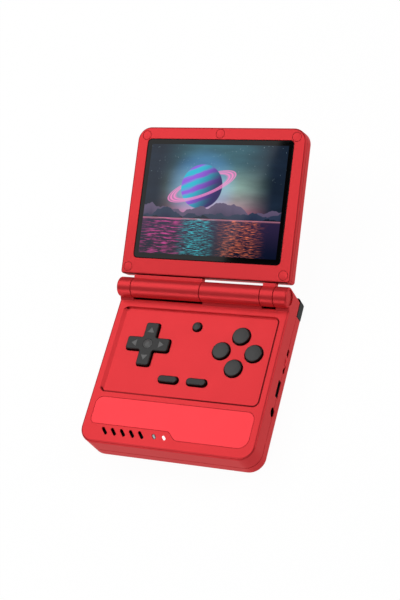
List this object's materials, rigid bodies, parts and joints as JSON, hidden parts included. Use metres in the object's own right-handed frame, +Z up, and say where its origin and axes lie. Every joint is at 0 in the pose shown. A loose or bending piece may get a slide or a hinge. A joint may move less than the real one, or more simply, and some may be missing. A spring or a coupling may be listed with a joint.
{
  "type": "clamshell handheld game console",
  "caption": "Open clamshell handheld game console with hinged screen lid, directional pad, round and pill buttons, shoulder buttons, volume wheel and side sockets.",
  "frame": {"origin": "middle of the base's underside, on the battery door, which lies flush with it", "axes": "+X to the side with the sockets, +Y from the front edge to the hinge, +Z up"},
  "size_m": [0.0829, 0.145, 0.0442],
  "materials": {
    "red_shell": "satin moulded plastic",
    "accent_panel": "smooth bright plastic",
    "button_grey": "satin dark grey",
    "black_plastic": "satin black",
    "keypad_rubber": "matt",
    "screen_glass": "polished black glass",
    "lcd_panel": "smooth",
    "lamp_lens": "clear white lens",
    "steel": "plain",
    "circuit_board": "lacquered board",
    "battery_cell": "foil wrap"
  },
  "bodies": {
    "base": {"top_case": "red_shell", "bottom_case": "red_shell", "battery_cover": "red_shell", "hinge_cap_left": "red_shell", "hinge_cap_right": "red_shell", "accent_panel": "accent_panel", "headphone_jack": "black_plastic", "speaker": "black_plastic", "volume_control": "black_plastic", "menu_switch": "black_plastic", "dpad_keypad": "keypad_rubber", "button_keypad": "keypad_rubber", "start_select_keypad": "keypad_rubber", "power_lamp": "lamp_lens", "charge_lamp": "lamp_lens", "charge_port": "steel", "card_socket": "steel", "power_switch": "steel", "hinge_pin": "steel", "hinge_clutch": "steel", "battery_cover_screw": "steel", "case_screw_front_left": "steel", "case_screw_front_right": "steel", "case_screw_rear_left": "steel", "case_screw_rear_right": "steel", "main_board": "circuit_board", "battery": "battery_cell"},
    "lid": {"lid_front": "red_shell", "lid_back": "red_shell", "screen_glass": "screen_glass", "lcd_panel": "lcd_panel", "screw_cover_top_left": "red_shell", "screw_cover_top_middle": "red_shell", "screw_cover_top_right": "red_shell", "screw_cover_lower_left": "red_shell", "screw_cover_lower_right": "red_shell", "lid_screw_top_left": "steel", "lid_screw_top_middle": "steel", "lid_screw_top_right": "steel", "lid_screw_lower_left": "steel", "lid_screw_lower_right": "steel"},
    "dpad_rocker": {"dpad_pivot": "black_plastic"},
    "direction_pad": {"dpad": "button_grey"},
    "a_key": {"button_a": "button_grey"},
    "b_key": {"button_b": "button_grey"},
    "x_key": {"button_x": "button_grey"},
    "y_key": {"button_y": "button_grey"},
    "menu_key": {"menu_button": "button_grey"},
    "select_key": {"select_button": "button_grey"},
    "start_key": {"start_button": "button_grey"},
    "left_shoulder": {"shoulder_left": "black_plastic"},
    "right_shoulder": {"shoulder_right": "black_plastic"},
    "wheel": {"volume_wheel": "red_shell"},
    "slider": {"power_slider": "button_grey"}
  },
  "joints": [
    {"name": "lid_hinge", "type": "hinge", "parent": "base", "child": "lid", "pos_m": [0, 0.0347, 0.0186], "axis": [1, 0, 0], "range_deg": [0, 161.2]},
    {"name": "dpad_pitch", "type": "hinge", "parent": "base", "child": "dpad_rocker", "pos_m": [-0.021, 0.009, 0.0123], "axis": [1, 0, 0], "range_deg": [-2.5, 2.5], "stiffness_Nm_per_rad": 0.11},
    {"name": "dpad_roll", "type": "hinge", "parent": "dpad_rocker", "child": "direction_pad", "pos_m": [-0.021, 0.009, 0.0123], "axis": [0, 1, 0], "range_deg": [-2.5, 2.5], "stiffness_Nm_per_rad": 0.11},
    {"name": "a_press", "type": "slide", "parent": "base", "child": "a_key", "axis": [0, 0, -1], "range_m": [0, 0.0009], "stiffness_N_per_m": 700, "springref_m": -0.0002},
    {"name": "b_press", "type": "slide", "parent": "base", "child": "b_key", "axis": [0, 0, -1], "range_m": [0, 0.0009], "stiffness_N_per_m": 700, "springref_m": -0.0002},
    {"name": "x_press", "type": "slide", "parent": "base", "child": "x_key", "axis": [0, 0, -1], "range_m": [0, 0.0009], "stiffness_N_per_m": 700, "springref_m": -0.0002},
    {"name": "y_press", "type": "slide", "parent": "base", "child": "y_key", "axis": [0, 0, -1], "range_m": [0, 0.0009], "stiffness_N_per_m": 700, "springref_m": -0.0002},
    {"name": "menu_press", "type": "slide", "parent": "base", "child": "menu_key", "axis": [0, 0, -1], "range_m": [0, 0.0009], "stiffness_N_per_m": 700, "springref_m": -0.0002},
    {"name": "select_press", "type": "slide", "parent": "base", "child": "select_key", "axis": [0, 0, -1], "range_m": [0, 0.0009], "stiffness_N_per_m": 700, "springref_m": -0.0002},
    {"name": "start_press", "type": "slide", "parent": "base", "child": "start_key", "axis": [0, 0, -1], "range_m": [0, 0.0009], "stiffness_N_per_m": 700, "springref_m": -0.0002},
    {"name": "left_shoulder_press", "type": "hinge", "parent": "base", "child": "left_shoulder", "pos_m": [-0.023, 0.0364, 0.00615], "axis": [0, 0, 1], "range_deg": [0, 1.4], "stiffness_Nm_per_rad": 0.9, "springref_deg": -0.46},
    {"name": "right_shoulder_press", "type": "hinge", "parent": "base", "child": "right_shoulder", "pos_m": [0.023, 0.0364, 0.00615], "axis": [0, 0, 1], "range_deg": [-1.4, 0], "stiffness_Nm_per_rad": 0.9, "springref_deg": 0.46},
    {"name": "wheel_turn", "type": "hinge", "parent": "base", "child": "wheel", "pos_m": [0.0348, 0.0105, 0.0058], "axis": [0, 0, 1], "range_deg": [-130, 130]},
    {"name": "power_slide", "type": "slide", "parent": "base", "child": "slider", "axis": [0, 1, 0], "range_m": [0, 0.0025]}
  ]
}
